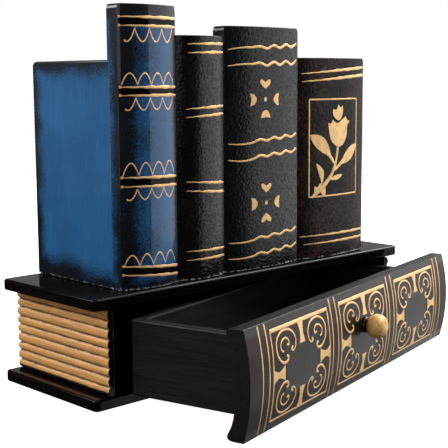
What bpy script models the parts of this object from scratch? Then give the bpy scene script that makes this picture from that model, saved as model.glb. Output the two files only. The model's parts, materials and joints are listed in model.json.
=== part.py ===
"""Wooden desk organiser: four upright books on a lying book, whose spine is the front of a drawer.

Metres, +Z up. The origin is the centre of the base's underside, +X runs along the row of books
and -Y is the side that the drawer comes out of. The drawer stands pulled out and askew, because
it turns a little on the stop pin that holds it in the base. `blender --background --python
part.py` builds it, and so does Run Script in the text editor.
"""

import math

import bmesh
import bpy
from mathutils import Matrix

MM = 0.001
GAP = 0.3 * MM

# Driving dimensions: the lying book
COVER_LENGTH = 260.0 * MM
COVER_DEPTH = 88.9 * MM
COVER_THICK = 6.7 * MM
COVER_CORNER = 3.0 * MM
COVER_EDGE = 1.3 * MM
BASE_HEIGHT = 61.4 * MM
PAGE_INSET = 9.1 * MM
PAGE_THICK = 4.0 * MM
PAGE_FRONT_INSET = 0.6 * MM
PAGE_BACK_INSET = 0.8 * MM
PAGE_RIDGES = 9
RIDGE_RISE = 1.4 * MM
RIDGE_STEPS = 6

# Driving dimensions: the upright books
HOLDER_LEFT = -105.6 * MM
HOLDER_RIGHT = 99.8 * MM
HOLDER_FRONT = -37.3 * MM
HOLDER_BACK = 43.4 * MM
SIDE_TOP = 186.8 * MM
SIDE_THICK = 6.0 * MM
SPINE_THICK = 9.1 * MM
SPINE_BULGE = 4.2 * MM
SPINE_ARC_STEPS = 14
DIVIDER_THICK = 4.0 * MM
DIVIDER_TOP = 172.0 * MM
BOARD_EDGE = 1.2 * MM
# Each spine: name, right edge, top, material
SPINES = (
    ("spine_blue", -64.6 * MM, 216.2 * MM, "blue_paint"),
    ("spine_brown", -28.0 * MM, 200.5 * MM, "brown_leather_paint"),
    ("spine_green", 35.8 * MM, 206.7 * MM, "green_leather_paint"),
    ("spine_tulip", HOLDER_RIGHT, 188.9 * MM, "brown_leather_paint"),
)

# Driving dimensions: the drawer. Its own frame has u along its front, v into its depth
# and v = 0 on the chord of the front's curve.
DRAWER_SKEW = math.radians(14.0)
PIN_X = -0.3 * MM
PIN_Y = -36.0 * MM
PIN_RADIUS = 2.5 * MM
PIN_HOLE_DEPTH = 4.7 * MM
PIN_TOP = 9.9 * MM
PIN_REACH_OPEN = 70.0 * MM
PIN_REACH_SHUT = 18.25 * MM
FRONT_LENGTH = 260.0 * MM
FRONT_BOTTOM = 0.8 * MM
FRONT_HEIGHT = 56.5 * MM
FRONT_BULGE = 4.0 * MM
FRONT_LIP_BACK = 9.5 * MM
FRONT_MID_BACK = 5.0 * MM
FRONT_LIP_RADIUS = 2.4 * MM
FRONT_STEPS = 16
BOX_WIDTH = 221.0 * MM
BOX_BOTTOM = 7.2 * MM
BOX_TOP = 49.2 * MM
BOX_FRONT = 7.7 * MM
BOX_BACK = 82.0 * MM
BOX_WALL = 6.0 * MM
BOX_FRONT_WALL = 5.5 * MM
BOX_FLOOR = 4.5 * MM
GROOVE_DEPTH = 3.0 * MM
GROOVE_HALF_WIDTH = 2.8 * MM
KNOB_HEIGHT = 34.4 * MM
SCREW_RADIUS = 1.7 * MM
SCREW_IN_KNOB = 7.2 * MM
SCREW_HEAD = 3.4 * MM
SCREW_HEAD_THICK = 2.4 * MM

# Fixings
HOLDER_SCREW_RADIUS = 1.4 * MM
HOLDER_SCREW_HEAD = 2.8 * MM
HOLDER_SCREW_RIM = 0.4 * MM
HOLDER_SCREW_LENGTH = 16.0 * MM
HOLDER_SCREW_POINT = 2.5 * MM
BRAD_RADIUS = 0.6 * MM
BRAD_HEAD = 1.1 * MM
BRAD_HEAD_THICK = 0.9 * MM
BRAD_LENGTH = 15.0 * MM
BRAD_POINT = 1.5 * MM
BRAD_SUNK = 0.1 * MM
BRAD_HEIGHTS = (0.3, 0.75)

COVER_TOP_UNDER = BASE_HEIGHT - COVER_THICK
PAGE_OUTER = COVER_LENGTH / 2 - PAGE_INSET
BAY_HALF = PAGE_OUTER - PAGE_THICK
BAY_BACK = COVER_DEPTH / 2 - PAGE_BACK_INSET - PAGE_THICK
PAGE_FRONT = -COVER_DEPTH / 2 + PAGE_FRONT_INSET
PAGE_LOW = COVER_THICK + GAP
PAGE_HIGH = COVER_TOP_UNDER - GAP
HOLDER_FOOT = BASE_HEIGHT + GAP
SPINE_BACK = HOLDER_FRONT + SPINE_THICK

# Linear colour, roughness, metallic
FINISHES = {
    "black_lacquer": ((0.012, 0.010, 0.009), 0.30, 0.0),
    "dark_drawer_stain": ((0.020, 0.015, 0.013), 0.55, 0.0),
    "page_gold": ((0.50, 0.28, 0.09), 0.55, 0.2),
    "blue_paint": ((0.020, 0.075, 0.17), 0.28, 0.0),
    "brown_leather_paint": ((0.026, 0.017, 0.015), 0.42, 0.0),
    "green_leather_paint": ((0.013, 0.018, 0.017), 0.42, 0.0),
    "knob_gold": ((0.55, 0.31, 0.09), 0.45, 0.4),
    "steel": ((0.45, 0.45, 0.46), 0.35, 1.0),
    "beech": ((0.42, 0.26, 0.13), 0.6, 0.0),
}


def clear_scene():
    for obj in list(bpy.data.objects):
        bpy.data.objects.remove(obj, do_unlink=True)


def finish(name):
    """The Principled material of this name, made the first time it is asked for."""
    found = bpy.data.materials.get(name)
    if found:
        return found
    made = bpy.data.materials.new(name)
    made.use_nodes = True
    shader = made.node_tree.nodes["Principled BSDF"]
    colour, roughness, metallic = FINISHES[name]
    shader.inputs["Base Color"].default_value = (*colour, 1.0)
    shader.inputs["Roughness"].default_value = roughness
    shader.inputs["Metallic"].default_value = metallic
    made.diffuse_color = (*colour, 1.0)
    return made


def to_object(name, bm, finish_name=None, parent=None):
    """The bmesh as a named object with outward faces. Without a finish it is a hidden cutter."""
    bmesh.ops.recalc_face_normals(bm, faces=bm.faces)
    mesh = bpy.data.meshes.new(name)
    bm.to_mesh(mesh)
    bm.free()
    mesh.shade_smooth()
    mesh.set_sharp_from_angle(angle=math.radians(32))
    obj = bpy.data.objects.new(name, mesh)
    bpy.context.scene.collection.objects.link(obj)
    obj.parent = parent
    if finish_name:
        mesh.materials.append(finish(finish_name))
    else:
        obj.hide_render = True
        obj.display_type = "WIRE"
    return obj


def round_edges(obj, width, segments=2, angle=35):
    bevel = obj.modifiers.new("rounded edges", "BEVEL")
    bevel.width = width
    bevel.segments = segments
    bevel.limit_method = "ANGLE"
    bevel.angle_limit = math.radians(angle)
    return obj


def cut(obj, cutter):
    hole = obj.modifiers.new("hole " + cutter.name, "BOOLEAN")
    hole.operation = "DIFFERENCE"
    hole.object = cutter


def prism(outline, place):
    """A bmesh between two copies of a closed outline: place(point, end) gives each corner."""
    bm = bmesh.new()
    rings = [[bm.verts.new(place(point, end)) for point in outline] for end in (0, 1)]
    count = len(outline)
    for i in range(count):
        j = (i + 1) % count
        bm.faces.new((rings[0][i], rings[0][j], rings[1][j], rings[1][i]))
    bm.faces.new(rings[0])
    bm.faces.new(reversed(rings[1]))
    bmesh.ops.recalc_face_normals(bm, faces=bm.faces)
    return bm


def box(low, high):
    corners = ((low[0], low[1]), (high[0], low[1]), (high[0], high[1]), (low[0], high[1]))
    return prism(corners, lambda point, end: (*point, (low[2], high[2])[end]))


def turned(profile, steps, matrix=Matrix()):
    """A bmesh turned about its own +Z from (radius, height) pairs that start and end on the axis."""
    bm = bmesh.new()
    first = bm.verts.new((0, 0, profile[0][1]))
    last = bm.verts.new((0, 0, profile[-1][1]))
    rings = []
    for radius, height in profile[1:-1]:
        turns = [2 * math.pi * i / steps for i in range(steps)]
        rings.append([bm.verts.new((radius * math.cos(t), radius * math.sin(t), height)) for t in turns])
    for i in range(steps):
        j = (i + 1) % steps
        bm.faces.new((first, rings[0][j], rings[0][i]))
        bm.faces.new((last, rings[-1][i], rings[-1][j]))
        for lower, upper in zip(rings, rings[1:]):
            bm.faces.new((lower[i], lower[j], upper[j], upper[i]))
    bm.transform(matrix)
    return bm


def arc_across(half, bulge, steps):
    """Points (t, out) of a shallow arc over a chord of this half width that stands out by bulge."""
    radius = (half * half + bulge * bulge) / (2 * bulge)
    spread = math.asin(half / radius)
    angles = [spread * (2 * i / steps - 1) for i in range(steps + 1)]
    return [(radius * math.sin(a), radius * math.cos(a) - radius + bulge) for a in angles]


def cover(name, low):
    """One board of the lying book, with rounded corners and edges."""
    bm = box(
        (-COVER_LENGTH / 2, -COVER_DEPTH / 2, low),
        (COVER_LENGTH / 2, COVER_DEPTH / 2, low + COVER_THICK),
    )
    upright = [e for e in bm.edges if abs(e.verts[0].co.z - e.verts[1].co.z) > GAP]
    bmesh.ops.bevel(bm, geom=upright, offset=COVER_CORNER, segments=4, profile=0.5, affect="EDGES")
    rim = [e for e in bm.edges if abs(e.verts[0].co.z - e.verts[1].co.z) < GAP]
    bmesh.ops.bevel(bm, geom=rim, offset=COVER_EDGE, segments=3, profile=0.5, affect="EDGES")
    return to_object(name, bm, "black_lacquer")


def page_profile():
    """(out from the inner face, height) of a page wall: a flat back and a stack of round ridges."""
    pitch = (PAGE_HIGH - PAGE_LOW) / PAGE_RIDGES
    valley = PAGE_THICK - RIDGE_RISE
    points = [(0.0, PAGE_HIGH), (0.0, PAGE_LOW)]
    for ridge in range(PAGE_RIDGES):
        middle = PAGE_LOW + pitch * (ridge + 0.5)
        arc = arc_across(pitch / 2, RIDGE_RISE, RIDGE_STEPS)
        points += [(valley + out, middle + along) for along, out in arc[:-1]]
    return points + [(valley, PAGE_HIGH)]


def page_walls():
    profile = page_profile()
    for name, side in (("page_wall_left", -1), ("page_wall_right", 1)):

        def side_place(point, end, side=side):
            out, height = point
            return (side * (BAY_HALF + out), (PAGE_FRONT, BAY_BACK + out - GAP)[end], height)

        to_object(name, prism(profile, side_place), "page_gold")

    def back_place(point, end):
        out, height = point
        return ((-1, 1)[end] * (BAY_HALF + out - GAP), BAY_BACK + out, height)

    to_object("page_wall_back", prism(profile, back_place), "page_gold")


def spine(name, left, right, top, finish_name):
    """One book's spine: a thick board with a rounded front."""
    half = (right - left) / 2 - GAP / 2
    middle = (left + right) / 2
    arc = arc_across(half, SPINE_BULGE, SPINE_ARC_STEPS)
    outline = [(middle + along, HOLDER_FRONT - out) for along, out in arc]
    outline += [(middle + half, SPINE_BACK), (middle - half, SPINE_BACK)]
    bm = prism(outline, lambda point, end: (*point, (HOLDER_FOOT, top)[end]))
    return round_edges(to_object(name, bm, finish_name), BOARD_EDGE, 3)


def board(name, low, high, finish_name, edge=BOARD_EDGE):
    return round_edges(to_object(name, box(low, high), finish_name), edge)


def holder():
    """The four upright books: spines in front, side boards, back and dividers behind."""
    left = HOLDER_LEFT
    for name, right, top, finish_name in SPINES:
        spine(name, left, right, top, finish_name)
        left = right
    front = SPINE_BACK + GAP
    board(
        "holder_left_side",
        (HOLDER_LEFT, front, HOLDER_FOOT),
        (HOLDER_LEFT + SIDE_THICK, HOLDER_BACK, SIDE_TOP),
        "blue_paint",
    )
    board(
        "holder_right_side",
        (HOLDER_RIGHT - SIDE_THICK, front, HOLDER_FOOT),
        (HOLDER_RIGHT, HOLDER_BACK, SIDE_TOP),
        "brown_leather_paint",
    )
    board(
        "holder_back",
        (HOLDER_LEFT + SIDE_THICK + GAP, HOLDER_BACK - SIDE_THICK, HOLDER_FOOT),
        (HOLDER_RIGHT - SIDE_THICK - GAP, HOLDER_BACK, SIDE_TOP),
        "black_lacquer",
    )
    for number, (_, seam, _, _) in enumerate(SPINES[:-1], start=1):
        board(
            f"divider_{number}",
            (seam - DIVIDER_THICK / 2, front, HOLDER_FOOT),
            (seam + DIVIDER_THICK / 2, HOLDER_BACK - SIDE_THICK - GAP, DIVIDER_TOP),
            "black_lacquer",
            edge=0.8 * MM,
        )


def holder_screw_profile(grow):
    """A countersunk wood screw that points up, with its head's face on height 0."""
    head = HOLDER_SCREW_HEAD + grow
    shank = HOLDER_SCREW_RADIUS + grow
    flush = -grow
    return (
        (0, flush),
        (head, flush),
        (head, HOLDER_SCREW_RIM),
        (shank, HOLDER_SCREW_RIM + HOLDER_SCREW_HEAD - HOLDER_SCREW_RADIUS),
        (shank, HOLDER_SCREW_LENGTH - HOLDER_SCREW_POINT),
        (0, HOLDER_SCREW_LENGTH + grow),
    )


def holder_screws():
    """Screws up through the top cover into the end spines and the back board."""
    spine_y = HOLDER_FRONT + SPINE_THICK / 2
    back_y = HOLDER_BACK - SIDE_THICK / 2
    first_middle = (HOLDER_LEFT + SPINES[0][1]) / 2
    last_middle = (SPINES[2][1] + HOLDER_RIGHT) / 2
    spots = (
        ("spine_blue", first_middle, spine_y),
        ("spine_tulip", last_middle, spine_y),
        ("holder_back", first_middle, back_y),
        ("holder_back", last_middle, back_y),
    )
    for number, (target, x, y) in enumerate(spots, start=1):
        place = Matrix.Translation((x, y, COVER_TOP_UNDER + GAP))
        to_object(f"holder_screw_{number}", turned(holder_screw_profile(0), 16, place), "steel")
        hole = to_object(f"holder_screw_hole_{number}", turned(holder_screw_profile(GAP), 16, place))
        cut(bpy.data.objects["top_cover"], hole)
        cut(bpy.data.objects[target], hole)


def stop_pin():
    """The dowel in the base that the drawer slides and turns on."""
    low = COVER_THICK - PIN_HOLE_DEPTH
    rim = 0.5 * MM
    profile = (
        (0, low + GAP),
        (PIN_RADIUS, low + GAP),
        (PIN_RADIUS, PIN_TOP - rim),
        (PIN_RADIUS - rim, PIN_TOP),
        (0, PIN_TOP),
    )
    axis = bpy.data.objects.new("pin_axis", None)
    axis.location = (PIN_X, PIN_Y, 0)
    bpy.context.scene.collection.objects.link(axis)
    to_object("stop_pin", turned(profile, 24), "beech", axis)
    hole_profile = (
        (0, low),
        (PIN_RADIUS + GAP, low),
        (PIN_RADIUS + GAP, COVER_THICK + GAP),
        (0, COVER_THICK + GAP),
    )
    hole = to_object("pin_hole", turned(hole_profile, 24), parent=axis)
    cut(bpy.data.objects["bottom_cover"], hole)


def front_section():
    """(v, z) outline of the drawer's front: a crescent, like the spine of a book."""
    half = FRONT_HEIGHT / 2
    middle = FRONT_BOTTOM + half
    face = [(-out, middle + along) for along, out in arc_across(half, FRONT_BULGE, FRONT_STEPS)]
    points = list(face)
    reach = half - FRONT_LIP_RADIUS
    for end in (1, -1):
        turn = [math.pi / 2 * i / 4 for i in range(5)]
        corner = [
            (
                FRONT_LIP_BACK - FRONT_LIP_RADIUS * (1 - math.sin(a)),
                middle + end * (reach + FRONT_LIP_RADIUS * math.cos(a)),
            )
            for a in turn
        ]
        points += corner if end > 0 else corner[::-1]
        if end > 0:
            for i in range(1, FRONT_STEPS):
                t = 1 - 2 * i / FRONT_STEPS
                hollow = (FRONT_LIP_BACK - FRONT_MID_BACK) * (1 - t**4)
                points.append((FRONT_LIP_BACK - hollow, middle + reach * t))
    return points


def knob_profile():
    """(radius, distance out) of the turned knob: a short neck and a round head."""
    neck = 4.6 * MM
    waist = 4.2 * MM
    head = 7.0 * MM
    head_middle = 7.0 * MM
    head_half = 6.0 * MM
    points = [(0, 0.0), (neck, 0.0), (waist, 0.9 * MM)]
    for i in range(3, 12):
        a = -math.pi / 2 + math.pi * i / 12
        points.append((head * math.cos(a) ** 0.8, head_middle + head_half * math.sin(a)))
    return points + [(0, head_middle + head_half)]


def drawer_frame():
    """The empty on the pin's axis, turned with the drawer, that its pieces hang on."""
    empty = bpy.data.objects.new("drawer_axis", None)
    empty.location = (PIN_X, PIN_Y, 0)
    empty.rotation_euler = (0, 0, DRAWER_SKEW)
    bpy.context.scene.collection.objects.link(empty)
    return empty


def in_drawer(u, v, z):
    """A point of the drawer's own frame, counted from the pin."""
    return (u, v - PIN_REACH_OPEN, z)


def drawer_front(frame):
    ends = (-FRONT_LENGTH / 2, FRONT_LENGTH / 2)
    bm = prism(front_section(), lambda point, end: in_drawer(ends[end], *point))
    return round_edges(to_object("drawer_front", bm, "dark_drawer_stain", frame), 0.8 * MM, 2, 40)


def drawer_board(name, low, high, frame, edge=0.8 * MM):
    bm = box(in_drawer(*low), in_drawer(*high))
    return round_edges(to_object(name, bm, "dark_drawer_stain", frame), edge)


def drawer_box(frame):
    """The open box behind the front: four walls and a floor with the groove for the stop pin."""
    half = BOX_WIDTH / 2
    inner = half - BOX_WALL
    wall_front = BOX_FRONT + BOX_FRONT_WALL
    drawer_board("drawer_inner_front", (-half, BOX_FRONT, BOX_BOTTOM), (half, wall_front, BOX_TOP), frame)
    for name, side in (("drawer_left_side", -1), ("drawer_right_side", 1)):
        outer_u, inner_u = sorted((side * half, side * inner))
        drawer_board(
            name, (outer_u, wall_front + GAP, BOX_BOTTOM), (inner_u, BOX_BACK, BOX_TOP), frame
        )
    drawer_board(
        "drawer_back",
        (-inner + GAP, BOX_BACK - BOX_WALL, BOX_BOTTOM),
        (inner - GAP, BOX_BACK, BOX_TOP),
        frame,
    )
    floor = drawer_board(
        "drawer_floor",
        (-inner + GAP, wall_front + GAP, BOX_BOTTOM),
        (inner - GAP, BOX_BACK - BOX_WALL - GAP, BOX_BOTTOM + BOX_FLOOR),
        frame,
        edge=0.4 * MM,
    )
    ends = (PIN_REACH_SHUT, PIN_REACH_OPEN)
    outline = []
    for end, centre in enumerate(ends):
        for i in range(13):
            a = math.pi * i / 12 + (math.pi if end == 0 else 0)
            outline.append((GROOVE_HALF_WIDTH * math.cos(a), centre + GROOVE_HALF_WIDTH * math.sin(a)))
    heights = (BOX_BOTTOM - 1.0 * MM, BOX_BOTTOM + GROOVE_DEPTH)
    groove = prism(outline, lambda point, end: in_drawer(*point, heights[end]))
    cut(floor, to_object("pin_groove", groove, parent=frame))


def knob(frame):
    """The knob and the machine screw that holds it from inside the drawer."""
    outwards = Matrix.Rotation(math.radians(90), 4, "X")
    seat = -FRONT_BULGE - GAP
    place = Matrix.Translation(in_drawer(0, seat, KNOB_HEIGHT)) @ outwards
    ball = to_object("drawer_knob", turned(knob_profile(), 28, place), "knob_gold", frame)
    head_face = BOX_FRONT + BOX_FRONT_WALL + GAP
    tip = head_face - seat + SCREW_IN_KNOB
    place = Matrix.Translation(in_drawer(0, head_face, KNOB_HEIGHT)) @ outwards
    chamfer = 0.6 * MM
    screw = (
        (0, -SCREW_HEAD_THICK),
        (0.75 * SCREW_HEAD, -0.9 * SCREW_HEAD_THICK),
        (SCREW_HEAD, -0.5 * SCREW_HEAD_THICK),
        (SCREW_HEAD, 0),
        (SCREW_RADIUS, 0),
        (SCREW_RADIUS, tip - chamfer),
        (SCREW_RADIUS - chamfer, tip),
        (0, tip),
    )
    to_object("knob_screw", turned(screw, 20, place), "steel", frame)
    bore = SCREW_RADIUS + GAP
    drill = ((0, -GAP), (bore, -GAP), (bore, tip + GAP), (0, tip + GAP))
    hole = to_object("knob_screw_hole", turned(drill, 20, place), parent=frame)
    for target in (ball, bpy.data.objects["drawer_front"], bpy.data.objects["drawer_inner_front"]):
        cut(target, hole)


def brad_profile(grow):
    """A brad that points along +Z, with its head's face on height 0."""
    return (
        (0, -grow),
        (BRAD_HEAD + grow, -grow),
        (BRAD_HEAD + grow, BRAD_HEAD_THICK + grow),
        (BRAD_RADIUS + grow, BRAD_HEAD_THICK + grow),
        (BRAD_RADIUS + grow, BRAD_LENGTH - BRAD_POINT),
        (0, BRAD_LENGTH + grow),
    )


def drawer_brads(frame):
    """Two brads through each side wall into the ends of the drawer's back."""
    number = 0
    for side, wall in ((-1, "drawer_left_side"), (1, "drawer_right_side")):
        inwards = Matrix.Rotation(math.radians(-90 * side), 4, "Y")
        for share in BRAD_HEIGHTS:
            number += 1
            height = BOX_BOTTOM + share * (BOX_TOP - BOX_BOTTOM)
            spot = in_drawer(side * (BOX_WIDTH / 2 - BRAD_SUNK), BOX_BACK - BOX_WALL / 2, height)
            place = Matrix.Translation(spot) @ inwards
            to_object(f"drawer_brad_{number}", turned(brad_profile(0), 12, place), "steel", frame)
            hole = to_object(f"brad_hole_{number}", turned(brad_profile(GAP), 12, place), parent=frame)
            cut(bpy.data.objects[wall], hole)
            cut(bpy.data.objects["drawer_back"], hole)


def main():
    clear_scene()
    cover("bottom_cover", 0.0)
    cover("top_cover", COVER_TOP_UNDER)
    page_walls()
    holder()
    holder_screws()
    stop_pin()
    frame = drawer_frame()
    drawer_front(frame)
    drawer_box(frame)
    knob(frame)
    drawer_brads(frame)
    bpy.context.view_layer.update()


main()
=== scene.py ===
"""Looks for a wooden desk organiser: four upright books on a lying book with a drawer.

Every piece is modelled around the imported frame, in metres and in the frame's own axes. +X runs
along the row of books, -Y is the side that the drawer comes out of and +Z is up. The drawer has
its own axes: u along its front, v into its depth, z up.
"""

import json
import math
import random

import bmesh
import bpy
from bpy.props import FloatProperty, FloatVectorProperty, IntProperty, PointerProperty
from bpy.types import Operator, Panel, PropertyGroup
from mathutils import Matrix, Vector


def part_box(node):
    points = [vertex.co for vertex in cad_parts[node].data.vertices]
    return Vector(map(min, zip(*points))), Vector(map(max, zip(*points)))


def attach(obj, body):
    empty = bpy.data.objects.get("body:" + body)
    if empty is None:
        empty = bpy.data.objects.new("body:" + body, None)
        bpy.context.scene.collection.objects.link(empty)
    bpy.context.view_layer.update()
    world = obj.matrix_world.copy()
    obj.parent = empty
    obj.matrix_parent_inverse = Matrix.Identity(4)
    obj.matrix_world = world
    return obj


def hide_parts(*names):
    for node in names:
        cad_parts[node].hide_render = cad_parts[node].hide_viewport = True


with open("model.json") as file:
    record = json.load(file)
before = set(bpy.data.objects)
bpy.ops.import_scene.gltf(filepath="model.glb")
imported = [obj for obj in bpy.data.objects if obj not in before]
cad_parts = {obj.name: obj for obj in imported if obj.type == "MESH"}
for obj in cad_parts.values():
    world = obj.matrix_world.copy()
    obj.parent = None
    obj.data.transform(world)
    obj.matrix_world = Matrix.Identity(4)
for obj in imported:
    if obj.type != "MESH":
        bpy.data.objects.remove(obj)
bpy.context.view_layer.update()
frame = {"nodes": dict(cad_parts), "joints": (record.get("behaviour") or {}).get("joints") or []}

bl_info = {
    "name": "Book desk organiser",
    "version": (1, 0, 0),
    "blender": (4, 5, 0),
    "location": "View3D > Sidebar > Organiser",
    "description": "Models and finishes a desk organiser made as painted wooden books with a drawer",
    "category": "Add Mesh",
}

MM = 0.001
PANEL_PITCH = 76.2 * MM
SAME_PLACE = 1e-5
SPINE_COLUMNS = 28
FRONT_ROWS = 36
KNOB_SIDES = 56
# Rows across a ridge of the page block, as shares of its height
RIDGE_ROWS = (0.03, 0.1, 0.22, 0.4, 0.6, 0.78, 0.9, 0.97)
MITRE_GAP = 0.15 * MM
KNOB_GAP = 0.3 * MM
# Radius and height of each ring of the knob's neck
KNOB_NECK = (
    (4.6 * MM, 0.0), (4.65 * MM, 0.3 * MM), (4.4 * MM, 0.7 * MM), (4.2 * MM, 1.1 * MM),
    (4.4 * MM, 1.5 * MM),
)
# On the flat sheets that paint is laid on, in millimetres
PANEL_HALF = 30.9
SHAPE_HEIGHT = 0.24
BAND_HEIGHT = 0.12
LINE_STEP = 2.0
# A box whose faces are too far off for any wear at its edges to show
NO_EDGES = ((-0.2, -0.2, 0), (0.2, 0.2, 0.3))
# Names of the spines from left to right, with the record's material slot of each
SPINES = (
    ("spine_blue", "blue_paint"),
    ("spine_brown", "brown_paint"),
    ("spine_green", "green_paint"),
    ("spine_tulip", "brown_paint"),
)
# Material, base colour, worn colour and gloss of the spines that look like leather
LEATHERS = {
    "spine_brown": ("spine_brown_leather", "brown", "brown_worn", 0.65),
    "spine_green": ("green_leather", "green", "green_worn", 0.6),
    "spine_tulip": ("spine_tulip_leather", "brown", "tulip_worn", 0.26),
}
# Azimuth from the front, distance, height, width, tallness, height aimed at, glow and its share
SOFTBOXES = {
    "right_softbox": (64, 0.9, 0.25, 1.2, 0.62, 0.25, "right_glow", 1.0),
    "right_middle": (64, 0.9, -0.23, 1.2, 0.34, -0.23, "right_glow", 0.62),
    "right_low": (64, 0.9, -0.6, 1.2, 0.40, -0.6, "right_glow", 0.28),
    "right_key": (84, 0.9, 0.80, 0.8, 0.55, 0.12, "key_glow", 1.0),
    "front_key": (42, 0.9, 1.1, 0.8, 0.6, 0.12, "front_glow", 1.0),
    "camera_fill": (-30, 1.2, 0.5, 1.0, 0.7, 0.08, "fill_glow", 1.0),
    "left_key": (-122, 0.9, 0.64, 0.8, 0.46, 0.10, "left_glow", 1.0),
    "left_low": (-84, 1.0, 0.2, 0.7, 0.36, 0.06, "low_glow", 1.0),
    "back_panel": (150, 1.3, 0.30, 1.8, 0.60, 0.30, "back_glow", 1.0),
    "left_panel": (-136, 1.1, 0.30, 0.8, 0.60, 0.30, "side_glow", 1.0),
}


def length(name, default, description):
    return FloatProperty(
        name=name, description=description, default=default, unit="LENGTH", subtype="DISTANCE"
    )


def colour(name, default, description):
    return FloatVectorProperty(
        name=name, description=description, default=default, subtype="COLOR", size=3, min=0, max=1
    )


def radiance(name, default, description):
    return FloatProperty(name=name, description=description, default=default, min=0)


class OrganiserSizes(PropertyGroup):
    """Sizes that the frame's boxes don't give."""

    spine_bulge: length("Spine bulge", 4.2 * MM, "How far the middle of a spine stands out")
    spine_corner: length("Spine corner", 3.0 * MM, "Rounding of the spines' upper corners")
    side_corner: length("Side corner", 3.0 * MM, "Rounding of the side boards' upper back corners")
    board_edge: length("Board edge", 1.2 * MM, "Rounding of the boards' edges")
    cover_corner: length("Cover corner", 3.0 * MM, "Rounding of the covers' corners, seen from above")
    cover_edge: length("Cover edge", 1.3 * MM, "Rounding of the covers' edges")
    ridge_rise: length("Ridge rise", 1.4 * MM, "How far a ridge of the page block stands out")
    ridges: IntProperty(name="Ridges", description="Ridges on the page block", default=9, min=1)
    front_bulge: length("Front bulge", 4.0 * MM, "How far the middle of the drawer's front stands out")
    front_length: length("Front length", 260.0 * MM, "Length of the drawer's front")
    front_edge: length("Front edge", 0.8 * MM, "Rounding of the drawer front's other edges")
    front_lip: length("Front lip", 3.4 * MM, "Rounding of the drawer front's back edges")
    front_back: length("Front back", 9.5 * MM, "Depth of the drawer's front at its lips")
    front_waist: length("Front waist", 5.0 * MM, "Depth of the drawer's front behind its middle")
    pin_reach: length("Pin reach", 70.0 * MM, "From the stop pin to the open drawer's front")
    knob_head: length("Knob head", 7.0 * MM, "Radius of the knob's head")
    knob_depth: length("Knob depth", 12.0 * MM, "Depth of the knob's head, from front to back")
    knob_out: length("Knob length", 13.0 * MM, "How far the knob stands out")
    paint_height: FloatProperty(
        name="Paint height", description="Height of a painted line over its width", default=0.22
    )


class OrganiserColours(PropertyGroup):
    """Linear colours of the paints and stains, and of the painted shade on the blue spine and on the
    knob's neck.
    """

    blue: colour("Blue", (0.016, 0.100, 0.25), "Lacquer of the first book")
    # Sponged black on the edges, and also the painted shade on the blue spine's left side and front
    blue_sponge_and_painted_shade: colour("Blue shade", (0.0022, 0.0032, 0.006), "Sponged edges of the first book")
    brown: colour("Brown", (0.0026, 0.0015, 0.0013), "Leather paint of the second and fourth book")
    brown_worn: colour("Worn brown", (0.011, 0.0062, 0.0060), "Patches on the second book")
    tulip_worn: colour("Worn red brown", (0.058, 0.021, 0.017), "Patches on the fourth book")
    green_worn: colour("Worn green", (0.0065, 0.0085, 0.0090), "Patches on the third book")
    side_worn: colour("Worn side", (0.011, 0.0062, 0.0056), "Patches on the last book's side")
    crumbs: colour("Crumbs", (0.42, 0.44, 0.47), "Pale wear along the books' feet")
    rubbed: colour("Rubbed edge", (0.20, 0.15, 0.12), "Wear on the edges of the lacquer")
    dust: colour("Dust", (0.04, 0.03, 0.026), "Specks in the lacquer")
    front_speck: colour("Front speck", (0.06, 0.045, 0.04), "Pale specks of the drawer's front")
    green: colour("Green black", (0.0020, 0.0034, 0.0034), "Leather paint of the third book")
    lacquer: colour("Lacquer", (0.0030, 0.0019, 0.0015), "Covers, back and dividers")
    page: colour("Page gold", (0.72, 0.36, 0.11), "Page block")
    page_groove: colour("Page groove", (0.045, 0.016, 0.006), "Grooves between the pages")
    front: colour("Drawer front", (0.011, 0.0088, 0.0082), "Drawer's front")
    front_stain: colour("Drawer front stain", (0.020, 0.0075, 0.004), "Brown mottling of the front")
    rim: colour("Drawer rim", (0.0045, 0.0026, 0.002), "Edges of the drawer's front")
    stain: colour("Drawer stain", (0.0065, 0.0052, 0.0052), "Drawer's box")
    gold: colour("Gold paint", (0.88, 0.56, 0.235), "Painted lines and shapes")
    knob_thin: colour("Thin knob gold", (0.50, 0.22, 0.045), "Between the dabs of the knob's gold")
    knob_brown: colour("Knob brown", (0.30, 0.13, 0.03), "Brown specks on the knob")
    # Painted shade on the knob's neck
    knob_neck_painted_shade: colour("Knob neck", (0.006, 0.004, 0.003), "Dark paint on the knob's neck")
    knob: colour("Knob gold", (1.0, 0.56, 0.17), "Knob")
    steel: colour("Steel", (0.42, 0.42, 0.43), "Screws and brads")
    beech: colour("Beech", (0.42, 0.26, 0.13), "Stop pin")


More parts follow.
